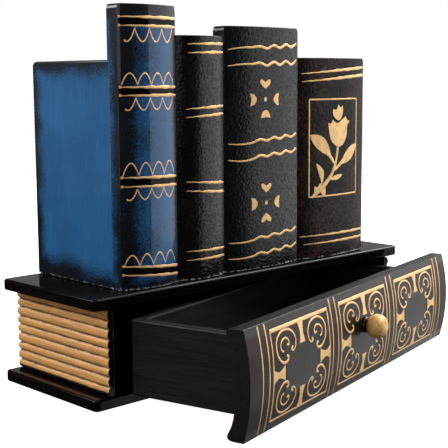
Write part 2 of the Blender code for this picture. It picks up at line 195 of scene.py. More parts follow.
class OrganiserStage(PropertyGroup):
    """Where the camera stands and how strong the lights are."""

    camera_place: FloatVectorProperty(
        name="Camera", description="Place of the camera", size=3, subtype="TRANSLATION",
        unit="LENGTH", default=(-0.4579, -0.4889, 0.1767),
    )
    heading: FloatProperty(
        name="Heading", description="Turn of the camera about the upright", subtype="ANGLE",
        default=math.radians(-43.57),
    )
    pitch: FloatProperty(
        name="Pitch", description="How far the camera looks down", subtype="ANGLE",
        default=math.radians(7.81),
    )
    roll: FloatProperty(
        name="Roll", description="Tilt of the camera", subtype="ANGLE", default=math.radians(-0.36)
    )
    lens: FloatProperty(name="Lens", description="Focal length in millimetres", default=85.53)
    right_glow: radiance("Right softbox", 1.35, "Radiance of the tall panel")
    key_glow: radiance("Right key", 12.0, "Radiance of the high light")
    front_glow: radiance("Front key", 4.6, "Radiance of the high light")
    fill_glow: radiance("Fill", 1.3, "Radiance of the light beside the camera")
    low_glow: radiance("Left low light", 2.2, "Radiance of the low light")
    left_glow: radiance("Left key", 8.6, "Radiance of the high light")
    back_glow: radiance("Back panel", 0.65, "Radiance of the panel behind")
    side_glow: radiance("Left panel", 0.12, "Radiance of the panel behind on the left")
    top_glow: radiance("Top light", 1.0, "Radiance of the overhead light")
    room: radiance("Room", 0.035, "Radiance of the unlit room")


# Modelling ----------------------------------------------------------------------------------------


def clear_selection():
    if bpy.context.mode != "OBJECT":
        bpy.ops.object.mode_set(mode="OBJECT")
    bpy.ops.object.select_all(action="DESELECT")


def select_only(obj):
    clear_selection()
    obj.select_set(True)
    bpy.context.view_layer.objects.active = obj


def fix_place():
    """Moves the active object's place, turn and scale into its mesh."""
    bpy.ops.object.transform_apply(location=True, rotation=True, scale=True)


def block(name, low, high):
    """A cuboid between two corners, ready to be shaped."""
    low, high = Vector(low), Vector(high)
    clear_selection()
    bpy.ops.mesh.primitive_cube_add(size=1, location=(low + high) / 2, scale=high - low)
    fix_place()
    made = bpy.context.object
    made.name = made.data.name = name
    return made


def pick(obj, kind, wanted):
    """In edit mode, selects only the vertices, edges or faces that pass the test."""
    bpy.ops.object.mode_set(mode="EDIT")
    bpy.ops.mesh.select_mode(type=kind)
    bpy.ops.mesh.select_all(action="DESELECT")
    shape = bmesh.from_edit_mesh(obj.data)
    for item in {"VERT": shape.verts, "EDGE": shape.edges, "FACE": shape.faces}[kind]:
        if wanted(item):
            item.select_set(True)
    shape.select_flush_mode()
    bmesh.update_edit_mesh(obj.data)


def slice_across(axis, places):
    """Bisects the whole active mesh at each of these places along an axis."""
    bpy.ops.object.mode_set(mode="EDIT")
    for place in places:
        bpy.ops.mesh.select_all(action="SELECT")
        point, normal = [0, 0, 0], [0, 0, 0]
        point[axis], normal[axis] = place, 1
        bpy.ops.mesh.bisect(plane_co=point, plane_no=normal)
    bpy.ops.object.mode_set(mode="OBJECT")


def push_rows(obj, axis, side, shifts):
    """Moves rows of vertices: shifts gives (place along axis, move), side picks a vertex's side."""
    for place, move in shifts:
        pick(obj, "VERT", lambda v: abs(v.co[axis] - place) < SAME_PLACE and side(v.co))
        bpy.ops.transform.translate(value=move)
    bpy.ops.object.mode_set(mode="OBJECT")


def apply_modifiers(obj):
    select_only(obj)
    for modifier in list(obj.modifiers):
        bpy.ops.object.modifier_apply(modifier=modifier.name)


def round_edges(obj, width, segments=4, angle=40):
    """Rounds the sharp edges and weights the normals, so that flat faces stay flat."""
    bevel = obj.modifiers.new("rounding", "BEVEL")
    bevel.width, bevel.segments = width, segments
    bevel.limit_method, bevel.angle_limit = "ANGLE", math.radians(angle)
    bevel.use_clamp_overlap = True
    apply_modifiers(obj)
    smooth(obj)


def smooth(obj, angle=35):
    select_only(obj)
    bpy.ops.object.shade_smooth_by_angle(angle=math.radians(angle))
    weighted = obj.modifiers.new("weighted normals", "WEIGHTED_NORMAL")
    weighted.keep_sharp = True
    apply_modifiers(obj)


def face_outwards(obj):
    """Merges doubles and turns every face outwards."""
    pick(obj, "VERT", lambda v: True)
    bpy.ops.mesh.remove_doubles(threshold=1e-6)
    bpy.ops.mesh.normals_make_consistent(inside=False)
    bpy.ops.object.mode_set(mode="OBJECT")


def second_finish(obj, finish, wanted):
    """Puts another material on the faces that pass the test. It runs after finished."""
    obj.data.materials.append(finish)
    for face in obj.data.polygons:
        if wanted(face):
            face.material_index = len(obj.data.materials) - 1


def finished(obj, body, slot, finish, *nodes):
    """Gives a piece its material and body, and hides the CAD nodes that it stands for. The slot is not
    used.
    """
    obj.data.materials.clear()
    obj.data.materials.append(finish)
    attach(obj, body)
    if nodes:
        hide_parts(*nodes)
    return obj


def arc_radius(half, bulge):
    """Radius of an arc that bulges so far over a chord of this half width."""
    return (half * half + bulge * bulge) / (2 * bulge)


def arc_out(along, half, bulge):
    """How far such an arc stands out from its chord, at this place along it."""
    radius = arc_radius(half, bulge)
    along = max(-half, min(half, along))
    return math.sqrt(radius * radius - along * along) - radius + bulge


def spread(low, high, count):
    """The inner places of a span cut in count equal parts."""
    return [low + (high - low) * i / count for i in range(1, count)]


def sizes_and_colours():
    return bpy.context.scene.organiser_sizes, bpy.context.scene.organiser_colours


# The drawer's own axes ----------------------------------------------------------------------------


def drawer_matrix():
    """From the drawer's axes to the frame, as the drawer stands in the frame."""
    slide = next(j for j in frame["joints"] if j["name"] == "drawer_slide")
    skew = math.atan2(-slide["axis"][0], slide["axis"][1])
    low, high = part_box("stop_pin")
    pin = Vector(((low.x + high.x) / 2, (low.y + high.y) / 2, 0))
    turn = Matrix.Rotation(skew, 4, "Z")
    reach = bpy.context.scene.organiser_sizes.pin_reach
    return Matrix.Translation(pin) @ turn @ Matrix.Translation((0, -reach, 0))


def put_in_drawer(obj, extra=Matrix.Identity(4)):
    select_only(obj)
    obj.matrix_world = drawer_matrix() @ extra
    fix_place()


def front_heights():
    low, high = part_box("drawer_front")
    return low.z, high.z


# Paint laid on a flat sheet and wrapped on a piece ------------------------------------------------


def flat_curve(name, loops, closed):
    """A curve in the XY plane from lists of (x, y, width) in millimetres."""
    clear_selection()
    bpy.ops.curve.primitive_nurbs_path_add(location=(0, 0, 0))
    made = bpy.context.object
    made.name = name
    made.data.splines.clear()
    for loop in loops:
        spline = made.data.splines.new("POLY")
        spline.points.add(len(loop) - 1)
        for point, (x, y, width) in zip(spline.points, loop):
            point.co = (x * MM, y * MM, 0, 1)
            point.radius = width
        spline.use_cyclic_u = closed
    return made


def to_mesh(obj):
    select_only(obj)
    bpy.ops.object.convert(target="MESH")
    made = bpy.context.object
    face_outwards(made)
    return made


def lay_lines(name, lines):
    """Rounded lines of paint, as a flat mesh."""
    made = flat_curve(name, lines, False)
    made.data.dimensions = "3D"
    made.data.twist_mode = "Z_UP"
    made.data.bevel_depth = 0.5 * MM
    made.data.bevel_resolution = 2
    made.data.use_fill_caps = True
    made = to_mesh(made)
    pick(made, "VERT", lambda v: True)
    bpy.ops.transform.resize(value=(1, 1, bpy.context.scene.organiser_sizes.paint_height))
    bpy.ops.object.mode_set(mode="OBJECT")
    return made


def lay_shapes(name, outlines, height=SHAPE_HEIGHT, axis=0):
    """Filled shapes of paint, cut finely enough along an axis to follow a curved piece."""
    made = flat_curve(name, [[(x, y, 1) for x, y in outline] for outline in outlines], True)
    made.data.dimensions = "2D"
    made.data.fill_mode = "BOTH"
    made.data.extrude = height * MM / 2
    made = to_mesh(made)
    places = [v.co[axis] for v in made.data.vertices]
    count = max(2, math.ceil((max(places) - min(places)) / (LINE_STEP * MM)))
    slice_across(axis, spread(min(places), max(places), count))
    return made


def join(objs):
    clear_selection()
    for obj in objs:
        obj.select_set(True)
    bpy.context.view_layer.objects.active = objs[0]
    bpy.ops.object.join()
    return bpy.context.object


def gild(name, body, place, lines, shapes=(), axis=0):
    """Lays gold lines and shapes on a piece. place wraps them on it, and axis is where it curves."""
    made = lay_lines(name, lines)
    if shapes:
        made = join([made, lay_shapes("gold_shapes", shapes, axis=axis)])
    wrap(made, place)
    made.name = made.data.name = name
    finished(made, body, "gold_paint", gold_paint(name.replace("gilding", "gold")))


def wrap(obj, place):
    """Moves each vertex from the flat sheet to its place on the piece."""
    for vertex in obj.data.vertices:
        vertex.co = place(*vertex.co)
    obj.data.update()
    smooth(obj, 50)
    return obj


def on_spine(name):
    """Wraps the sheet's (x, y, height) on the rounded front of a spine."""
    low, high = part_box(name)
    bulge = bpy.context.scene.organiser_sizes.spine_bulge
    middle, half = (low.x + high.x) / 2, (high.x - low.x) / 2
    radius = arc_radius(half, bulge)

    def place(x, y, height):
        turn = math.asin(max(-half, min(half, x - middle)) / radius)
        front = low.y + bulge - arc_out(x - middle, half, bulge)
        return Vector((x + height * math.sin(turn), front - height * math.cos(turn), y))

    return place


def on_front():
    """Wraps the sheet's (u, z, height) on the rounded front of the drawer."""
    low, high = front_heights()
    bulge = bpy.context.scene.organiser_sizes.front_bulge
    middle, half = (low + high) / 2, (high - low) / 2
    radius = arc_radius(half, bulge)
    to_frame = drawer_matrix()

    def place(u, z, height):
        turn = math.asin(max(-half, min(half, z - middle)) / radius)
        out = arc_out(z - middle, half, bulge) + height * math.cos(turn)
        return to_frame @ Vector((u, -out, z + height * math.sin(turn)))

    return place


def curved(points, per=5):
    """A smooth line through (x, y, ...) points, by Catmull-Rom."""
    ends = [points[0], *points, points[-1]]
    made = []
    for a, b, c, d in zip(ends, ends[1:], ends[2:], ends[3:]):
        for i in range(per):
            t = i / per
            made.append(tuple(
                0.5 * (2 * q + (r - p) * t + (2 * p - 5 * q + 4 * r - s) * t * t
                       + (3 * q - p - 3 * r + s) * t**3)
                for p, q, r, s in zip(a, b, c, d)
            ))
    return [*made, tuple(points[-1])]


def curved_loop(points, per=4):
    """A smooth closed outline through the points. A point given twice stays a corner."""
    made = []
    count = len(points)
    for i in range(count):
        a, b, c, d = (points[(i + k) % count] for k in (-1, 0, 1, 2))
        if b == c:
            continue
        made += curved([a, b, c, d], per)[per:2 * per]
    return made


def straight(start, end, step=LINE_STEP):
    """A straight line of (x, y, width) with a point every step or so."""
    count = max(1, math.ceil(math.dist(start[:2], end[:2]) / step))
    return [tuple(p + (q - p) * i / count for p, q in zip(start, end)) for i in range(count + 1)]


def framed(left, right, low, high, width, top_width, step=LINE_STEP):
    """The four lines of an upright frame. The level ones have a point every step or so."""
    return [
        straight((left, low, width), (right, low, width), step),
        straight((left, high, top_width), (right, high, top_width), step),
        straight((left, low, width), (left, high, width)),
        straight((right, low, width), (right, high, width)),
    ]


# Materials ----------------------------------------------------------------------------------------


class Paint:
    """Adds and joins the nodes of one material."""

    def __init__(self, name, **values):
        self.material = bpy.data.materials.new(name)
        self.material.use_nodes = True
        self.tree = self.material.node_tree
        self.shader = self.tree.nodes["Principled BSDF"]
        self.set(**values)
        self.place = self.add("ShaderNodeTexCoord").outputs["Object"]

    def set(self, **values):
        for key, value in values.items():
            self.feed(self.shader.inputs[key.replace("_", " ")], value)

    def feed(self, socket, value):
        if isinstance(value, bpy.types.NodeSocket):
            self.tree.links.new(value, socket)
        elif socket.type == "RGBA" and len(value) == 3:
            socket.default_value = (*value, 1)
        else:
            socket.default_value = value

    def add(self, kind, inputs=(), **settings):
        node = self.tree.nodes.new(kind)
        for key, value in settings.items():
            setattr(node, key, value)
        for key, value in dict(inputs).items():
            self.feed(node.inputs[key], value)
        return node

    def mapped(self, scale=(1, 1, 1), turn=(0, 0, 0), move=(0, 0, 0), place=None):
        inputs = {
            "Vector": place or self.place, "Scale": scale, "Rotation": turn, "Location": move
        }
        return self.add("ShaderNodeMapping", inputs).outputs["Vector"]

    def noise(self, scale, detail=4, roughness=0.55, place=None, distortion=0):
        inputs = {
            "Vector": place or self.place, "Scale": scale, "Detail": detail,
            "Roughness": roughness, "Distortion": distortion,
        }
        return self.add("ShaderNodeTexNoise", inputs).outputs["Fac"]

    def cells(self, scale, randomness):
        inputs = {"Vector": self.place, "Scale": scale, "Randomness": randomness}
        return self.add("ShaderNodeTexVoronoi", inputs, feature="SMOOTH_F1").outputs["Distance"]

    def sums(self, kind, first, second=0.0, third=None):
        node = self.add("ShaderNodeMath", {0: first, 1: second}, operation=kind)
        if third is not None:
            self.feed(node.inputs[2], third)
        return node.outputs[0]

    def span(self, value, low, high, to_low=0.0, to_high=1.0):
        """Takes a value from one span to another, clamped."""
        inputs = {0: value, 1: low, 2: high, 3: to_low, 4: to_high}
        return self.add("ShaderNodeMapRange", inputs, clamp=True).outputs[0]

    def mix(self, share, first, second):
        node = self.add("ShaderNodeMix", data_type="RGBA")
        for index, value in ((0, share), (6, first), (7, second)):
            self.feed(node.inputs[index], value)
        return node.outputs[2]

    def bump(self, height, distance):
        return self.add("ShaderNodeBump", {"Height": height, "Distance": distance}).outputs[0]

    def axes(self, place=None):
        node = self.add("ShaderNodeSeparateXYZ", {0: place or self.place})
        return [node.outputs[i] for i in range(3)]

    def face_distances(self, low, high):
        """How far a point is inside the nearer face of a box, along each axis."""
        found = []
        for along, a, b in zip(self.axes(), low, high):
            off = self.sums("ABSOLUTE", self.sums("SUBTRACT", along, (a + b) / 2))
            found.append(self.sums("SUBTRACT", (b - a) / 2, off))
        return found

    def middle_of(self, a, b, c):
        """The middle one of three values: on a box's surface, the distance to its nearest edge."""
        lesser, greater = self.sums("MINIMUM", a, b), self.sums("MAXIMUM", a, b)
        return self.sums("MAXIMUM", lesser, self.sums("MINIMUM", greater, c))


def shades(base, factor):
    return tuple(min(1.0, c * factor) for c in base)


def spine_edges(paint, name):
    """Distance from a point of a spine to its nearest front or end edge, round its front's bulge."""
    low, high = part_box(name)
    bulge = bpy.context.scene.organiser_sizes.spine_bulge
    half = (high.x - low.x) / 2
    radius = arc_radius(half, bulge)
    dx, _, dz = paint.face_distances(low, high)
    x, y, _ = paint.axes()
    off = paint.sums("SUBTRACT", x, (low.x + high.x) / 2)
    under = paint.sums("SUBTRACT", radius * radius, paint.sums("MULTIPLY", off, off))
    out = paint.sums("SUBTRACT", paint.sums("SQRT", paint.sums("MAXIMUM", under, 0.0)), radius - bulge)
    behind_front = paint.sums("ADD", paint.sums("SUBTRACT", y, low.y + bulge), out)
    return paint.middle_of(dx, behind_front, dz)


def spine_ends_and_painted_shade(paint, name):
    """How black the blue spine is: black at its ends, and painted shade down its left side and across its
    front, darkest at the left and fading to the right.
    """
    low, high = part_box(name)
    chord = low.y + bpy.context.scene.organiser_sizes.spine_bulge
    x, y, z = paint.axes()
    over = paint.span(z, high.z - 13 * MM, high.z - 6 * MM)
    under = paint.span(z, low.z + 1 * MM, low.z + 14 * MM, 1.0, 0.0)
    # Painted shade: darkest at the left of the front, fading to the right, and on the left face near the
    # front
    beside_left = paint.span(x, low.x + 3 * MM, low.x + 11 * MM, 0.52, 0.0)
    to_right = paint.span(x, low.x + 10 * MM, high.x - 6 * MM, 0.56, 0.12)
    on_front = paint.sums("ADD", beside_left, to_right)
    on_side = paint.span(y, chord, chord + 14 * MM, 0.98, 0.2)
    beside = paint.sums("MINIMUM", on_front, on_side)
    return paint.sums("MAXIMUM", paint.sums("MAXIMUM", over, under), beside)


def blue_lacquer(name, edge, shade, reach):
    """Glossy blue, with black sponged on where edge is under reach, and darkened where shade is high; on
    the spine that darkening is painted shade.
    """
    colours = bpy.context.scene.organiser_colours
    paint = Paint(
        name, Roughness=0.42, Coat_Weight=0.7, Coat_Roughness=0.04, IOR=1.45, Specular_IOR_Level=0.15
    )
    near_edge = paint.span(edge(paint), 0.4 * MM, reach, 1.0, 0.0)
    # Sponged black at the edges, plus the darkening from shade, which on the spine is painted shade
    dark = paint.sums("MAXIMUM", near_edge, shade(paint))
    cloud = paint.noise(55, 3)
    speckle = paint.noise(900, 2, 0.7)
    drift = paint.sums("MULTIPLY_ADD", cloud, 0.9, paint.sums("MULTIPLY_ADD", speckle, 1.2, -1.05))
    cover = paint.span(paint.sums("ADD", dark, drift), 0.3, 0.84)
    body = paint.mix(
        paint.span(paint.noise(24, 3), 0.35, 0.7), shades(colours.blue, 0.86), shades(colours.blue, 1.18)
    )
    body = paint.mix(paint.span(speckle, 0.62, 0.75, 0.0, 0.25), body, shades(colours.blue, 0.35))
    brushed = paint.noise(330, 4, 0.65, paint.mapped(scale=(1, 1, 0.14)))
    body = paint.mix(paint.span(brushed, 0.42, 0.7, 0.0, 0.3), body, shades(colours.blue, 0.62))
    body = paint.mix(paint.span(brushed, 0.44, 0.3, 0.0, 0.3), body, shades(colours.blue, 1.5))
    paint.set(Base_Color=foot_wear(paint, paint.mix(cover, body, colours.blue_sponge_and_painted_shade)))
    orange_peel = paint.bump(paint.noise(140, 2), 0.04 * MM)
    paint.set(Normal=orange_peel, Coat_Normal=paint.bump(paint.noise(90, 2), 0.03 * MM))
    return paint.material


def foot_wear(paint, under):
    """Pale crumbs of glue and worn paint along the foot of a book."""
    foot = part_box("spine_blue")[0].z
    height = paint.span(paint.axes()[2], foot + 0.4 * MM, foot + 2.2 * MM, 0.16, -0.12)
    crumbs = paint.sums("ADD", paint.noise(420, 4, 0.75), height)
    pale = bpy.context.scene.organiser_colours.crumbs
    return paint.mix(paint.span(crumbs, 0.62, 0.68, 0.0, 0.75), under, pale)


def leather_paint(name, base, warm, gloss):
    """Nearly black paint stippled to look like worn leather, under a satin lacquer."""
    paint = Paint(name, Coat_Roughness=0.13, IOR=1.45, Specular_IOR_Level=0.04)
    pebble, depth = 620, 0.16 * MM
    low = paint.cells(pebble, 0.9)
    fine = paint.noise(pebble * 2.2, 3, 0.6)
    patches = paint.noise(34, 4, 0.6)
    tint = paint.mix(paint.span(patches, 0.4, 0.7), shades(base, 0.7), warm)
    tint = paint.mix(paint.span(low, 0.25, 0.6), shades(base, 0.5), tint)
    tint = paint.mix(paint.span(fine, 0.62, 0.8, 0.0, 0.5), tint, shades(warm, 2.6))
    height = paint.sums("MULTIPLY_ADD", fine, 0.5, low)
    paint.set(
        Base_Color=foot_wear(paint, tint),
        Coat_Weight=paint.span(height, 0.35, 0.8, gloss * 0.6, gloss * 1.3),
        Roughness=paint.span(patches, 0.3, 0.7, 0.38, 0.55),
        Normal=paint.bump(height, depth),
        Coat_Normal=paint.bump(height, depth * 0.85),
    )
    return paint.material


def black_lacquer(name, low, high):
    """Brown-black lacquer over lengthwise grain, rubbed along the edges of a box."""
    colours = bpy.context.scene.organiser_colours
    base = colours.lacquer
    paint = Paint(name, Coat_Weight=0.36, Coat_Roughness=0.07, IOR=1.45, Specular_IOR_Level=0.0)
    edge = paint.span(paint.middle_of(*paint.face_distances(low, high)), 0, 1.2 * MM, 0.42, -0.2)
    grain = paint.noise(60, 5, 0.65, paint.mapped(scale=(0.12, 1, 1)))
    dust = paint.noise(1400, 2, 0.7)
    rub = paint.sums("MULTIPLY_ADD", paint.noise(95, 4, 0.7), 0.9, edge)
    body = paint.mix(paint.span(grain, 0.35, 0.7), shades(base, 0.7), shades(base, 1.9))
    body = paint.mix(paint.span(dust, 0.68, 0.78, 0.0, 0.3), body, colours.dust)
    body = paint.mix(paint.span(rub, 0.74, 0.9, 0.0, 0.8), body, colours.rubbed)
    paint.set(
        Base_Color=body,
        Roughness=paint.span(grain, 0.3, 0.7, 0.32, 0.5),
        Normal=paint.bump(paint.sums("MULTIPLY_ADD", dust, 0.25, grain), 0.08 * MM),
        Coat_Normal=paint.bump(paint.noise(120, 3), 0.03 * MM),
    )
    return paint.material


def page_gold(name, axis, outwards, outside, foot):
    """Gold paint rubbed over the ridges of the page block, dark in its grooves and at its foot."""
    sizes, colours = sizes_and_colours()
    paint = Paint(name, Metallic=0.05, Coat_Weight=0.2, Coat_Roughness=0.3)

    def drawn_out(share):
        """The place, shrunk along the wall, so that a pattern there is drawn out."""
        scale = [1, 1, 1]
        scale[1 - axis] = share
        return paint.mapped(scale=scale)

    streaks = paint.noise(900, 3, 0.6, drawn_out(0.05))
    broad = paint.noise(70, 4, 0.6, drawn_out(0.35))
    places = paint.axes()
    inwards = paint.sums("SUBTRACT", outside, places[axis])
    depth = paint.sums("MULTIPLY", inwards, outwards / sizes.ridge_rise)
    crown = paint.sums("SUBTRACT", 1.0, depth)
    rubbed = paint.noise(520, 3, 0.7, drawn_out(0.3))
    crown = paint.sums("MULTIPLY_ADD", paint.sums("SUBTRACT", rubbed, 0.5), 1.5, crown)
    sand = paint.noise(1600, 2, 0.7)
    base = colours.page
    gold = paint.mix(paint.span(streaks, 0.3, 0.72), shades(base, 0.66), shades(base, 1.12))
    gold = paint.mix(paint.span(broad, 0.35, 0.7, 0.0, 0.35), gold, shades(base, 0.6))
    gold = paint.mix(paint.span(sand, 0.54, 0.7, 0.0, 0.5), gold, shades(base, 0.4))
    gold = paint.mix(paint.span(crown, 0.10, 0.62), colours.page_groove, gold)
    ragged = paint.sums("MULTIPLY_ADD", rubbed, 1.2 * MM, places[2])
    above_foot = paint.span(ragged, foot + 2.6 * MM, foot + 3.1 * MM)
    paint.set(
        Base_Color=paint.mix(above_foot, colours.lacquer, gold),
        Roughness=paint.span(streaks, 0.3, 0.7, 0.42, 0.62),
        Normal=paint.bump(paint.sums("MULTIPLY_ADD", broad, 0.6, streaks), 0.14 * MM),
    )
    return paint.material


def drawer_paint(name, skew):
    """The drawer front's dark grey, wiped upright, with brown showing through."""
    colours = bpy.context.scene.organiser_colours
    paint = Paint(name, Coat_Roughness=0.15, IOR=1.45, Specular_IOR_Level=0.08)
    flat = paint.mapped(turn=(0, 0, -skew))
    centre = Matrix.Rotation(-skew, 3, "Z") @ drawer_matrix().translation
    low, high = front_heights()
    u, _, z = paint.axes(flat)
    from_centre = paint.sums("SUBTRACT", u, centre.x)
    across = paint.sums("ABSOLUTE", paint.sums("WRAP", from_centre, PANEL_PITCH / 2, -PANEL_PITCH / 2))
    above = paint.sums("ABSOLUTE", paint.sums("SUBTRACT", z, (low + high) / 2))
    wide, tall = (
        paint.sums("DIVIDE", away, reach * MM) for away, reach in ((across, 16.5), (above, 12.5))
    )
    outside_middle = paint.span(paint.sums("MAXIMUM", wide, tall), 0.97, 1.12)
    panel = paint.sums("MINIMUM", paint.span(above, 22.5 * MM, 24.5 * MM, 1.0, 0.0), outside_middle)
    wiped = paint.noise(420, 4, 0.6, paint.mapped(scale=(1, 1, 0.12), place=flat))
    patches = paint.noise(42, 4, 0.6, flat)
    speck = paint.noise(1500, 2, 0.7)
    body = paint.mix(paint.span(wiped, 0.35, 0.7), shades(colours.front, 0.6), shades(colours.front, 1.6))
    brown = paint.sums("MULTIPLY_ADD", panel, 0.55, paint.span(patches, 0.4, 0.66, 0.0, 0.45))
    body = paint.mix(brown, body, colours.front_stain)
    body = paint.mix(paint.span(speck, 0.66, 0.78, 0.0, 0.5), body, colours.front_speck)
    paint.set(
        Base_Color=body,
        Roughness=paint.span(patches, 0.3, 0.7, 0.36, 0.5),
        Coat_Weight=paint.span(panel, 0.0, 1.0, 0.5, 0.26),
        Normal=paint.bump(paint.sums("MULTIPLY_ADD", speck, 0.4, wiped), 0.1 * MM),
        Coat_Normal=paint.bump(paint.sums("MULTIPLY_ADD", speck, 0.5, wiped), 0.04 * MM),
    )
    return paint.material


def stained_wood(name, base, skew=0.0, long_axis=0, gloss=0.5, light=1.5):
    """Open-grained wood under a thin stain. The grain runs along one of the piece's own axes."""
    paint = Paint(name, Coat_Weight=gloss, Coat_Roughness=0.28, IOR=1.45, Specular_IOR_Level=0.2)
    scale = [1, 1, 1]
    scale[long_axis] = 0.06
    fibres = paint.mapped(scale=scale, place=paint.mapped(turn=(0, 0, -skew)))
    grain = paint.noise(330, 5, 0.65, fibres, 0.4)
    pores = paint.noise(1300, 2, 0.6, fibres)
    body = paint.mix(paint.span(grain, 0.35, 0.68), shades(base, 0.6), shades(base, light))
    body = paint.mix(paint.span(pores, 0.6, 0.75, 0.0, 0.6), body, shades(base, 0.3))
    paint.set(
        Base_Color=body,
        Roughness=paint.span(grain, 0.3, 0.7, 0.45, 0.65),
        Normal=paint.bump(paint.sums("MULTIPLY_ADD", pores, -0.6, grain), 0.16 * MM),
    )
    return paint.material


def gold_paint(name):
    """Brushed gold paint, thin and browner in places."""
    base = bpy.context.scene.organiser_colours.gold
    paint = Paint(name, Metallic=0.45, Coat_Weight=0.3, Coat_Roughness=0.22)
    thin = paint.noise(190, 4, 0.6)
    fine = paint.noise(700, 3, 0.6)
    tint = paint.mix(paint.span(thin, 0.42, 0.7), shades(base, 1.08), shades(base, 0.84))
    tint = paint.mix(paint.span(fine, 0.6, 0.8, 0.0, 0.35), tint, shades(base, 0.55))
    paint.set(
        Base_Color=tint,
        Roughness=paint.span(thin, 0.3, 0.7, 0.4, 0.58),
        Normal=paint.bump(fine, 0.07 * MM),
    )
    return paint.material


def knob_gold(name, centre, seat, outwards):
    """Gold dabbed on the knob with a brush, over brown, and painted shade on its neck, as dark as the
    front.
    """
    colours = bpy.context.scene.organiser_colours
    paint = Paint(name, Metallic=0.1, Coat_Weight=0.25, Coat_Roughness=0.2)
    about = paint.mapped(move=tuple(-c for c in centre))
    dabs = paint.noise(230, 4, 0.6, about, 0.9)
    fine = paint.noise(1100, 3, 0.6, about)
    tint = paint.mix(paint.span(dabs, 0.46, 0.66), shades(colours.knob, 1.05), colours.knob_thin)
    tint = paint.mix(paint.span(fine, 0.6, 0.76, 0.0, 0.45), tint, colours.knob_brown)
    kind = "ShaderNodeVectorMath"
    off = paint.add(kind, {0: paint.place, 1: seat}, operation="SUBTRACT").outputs[0]
    out = paint.add(kind, {0: off, 1: outwards}, operation="DOT_PRODUCT").outputs["Value"]
    ragged = paint.sums("MULTIPLY_ADD", dabs, 2 * MM, out)
    # Painted shade: the neck is darkened up to a ragged edge below the head
    tint = paint.mix(paint.span(ragged, 3.2 * MM, 4.4 * MM), colours.knob_neck_painted_shade, tint)
    paint.set(
        Base_Color=tint,
        Roughness=paint.span(dabs, 0.3, 0.7, 0.34, 0.55),
        Normal=paint.bump(paint.sums("MULTIPLY_ADD", fine, 0.4, dabs), 0.22 * MM),
    )
    return paint.material


def plain_steel(name, base):
    paint = Paint(name, Metallic=1.0)
    worn = paint.noise(600, 3, 0.6)
    paint.set(
        Base_Color=paint.mix(paint.span(worn, 0.35, 0.7), shades(base, 0.6), base),
        Roughness=paint.span(worn, 0.3, 0.7, 0.25, 0.5),
        Normal=paint.bump(worn, 0.02 * MM),
    )
    return paint.material


# Pieces -------------------------------------------------------------------------------------------


class ORGANISER_OT_covers(Operator):
    """Model the two covers of the lying book"""

    bl_idname = "organiser.covers"
    bl_label = "Covers"

    def execute(self, context):
        sizes = bpy.context.scene.organiser_sizes
        for name, node in (("cover_top", "top_cover"), ("cover_bottom", "bottom_cover")):
            low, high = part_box(node)
            made = block(name, low, high)
            pick(made, "EDGE", lambda e: abs(e.verts[0].co.z - e.verts[1].co.z) > MM)
            bpy.ops.mesh.bevel(offset=sizes.cover_corner, segments=6, affect="EDGES")
            bpy.ops.object.mode_set(mode="OBJECT")
            round_edges(made, sizes.cover_edge, 5)
            finish = black_lacquer(f"{name}_lacquer", low, high)
            finished(made, "carcass", "black_lacquer", finish, node)
        return {"FINISHED"}


class ORGANISER_OT_pages(Operator):
    """Model the ridged walls of the page block"""

    bl_idname = "organiser.pages"
    bl_label = "Page block"

    def wall(self, name, node, side_axis, outwards):
        """A ridged wall. It starts as thick as its grooves, and each row is then pushed out."""
        sizes = bpy.context.scene.organiser_sizes
        low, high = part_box(node)
        rise = sizes.ridge_rise
        valley_low, valley_high = Vector(low), Vector(high)
        if outwards < 0:
            valley_low[side_axis] += rise
        else:
            valley_high[side_axis] -= rise
        made = block(name, valley_low, valley_high)
        uneven = random.Random(7)
        pitch = (high.z - low.z) / sizes.ridges
        grooves = [
            low.z + pitch * (i + uneven.uniform(-0.09, 0.09) * (0 < i < sizes.ridges))
            for i in range(sizes.ridges + 1)
        ]
        shifts = []
        for bottom, top in zip(grooves, grooves[1:]):
            for share in RIDGE_ROWS:
                move = [0, 0, 0]
                move[side_axis] = outwards * rise * (1 - abs(2 * share - 1) ** 3)
                shifts.append((bottom + share * (top - bottom), move))
        slice_across(2, grooves[1:-1] + [z for z, _ in shifts])
        middle = (low[side_axis] + high[side_axis]) / 2
        push_rows(made, 2, lambda co: (co[side_axis] - middle) * outwards > 0, shifts)
        return made

    def execute(self, context):
        low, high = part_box("page_wall_back")
        for name, node, axis, outwards in (
            ("pages_left", "page_wall_left", 0, -1),
            ("pages_right", "page_wall_right", 0, 1),
            ("pages_back", "page_wall_back", 1, 1),
        ):
            made = self.wall(name, node, axis, outwards)
            cuts = [-1, 1] if axis == 1 else [outwards]
            for side in cuts:
                corner = Vector((low.x if side < 0 else high.x, high.y, 0))
                gap = MITRE_GAP if axis == 1 else -MITRE_GAP
                pick(made, "FACE", lambda f: True)
                bpy.ops.mesh.bisect(
                    plane_co=corner + Vector((0, gap, 0)),
                    plane_no=(side, -1, 0) if axis == 1 else (-side, 1, 0),
                    use_fill=True,
                    clear_outer=True,
                )
                bpy.ops.object.mode_set(mode="OBJECT")
            face_outwards(made)
            smooth(made, 50)
            base_low, base_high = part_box(node)
            outside = base_low[axis] if outwards < 0 else base_high[axis]
            finish = page_gold(f"{name}_gold", axis, outwards, outside, base_low.z)
            finished(made, "carcass", "page_gold", finish, node)
            black = black_lacquer(f"{name}_black", base_low, base_high)
            second_finish(made, black, lambda face: face.normal[axis] * outwards < 0.2)
        return {"FINISHED"}


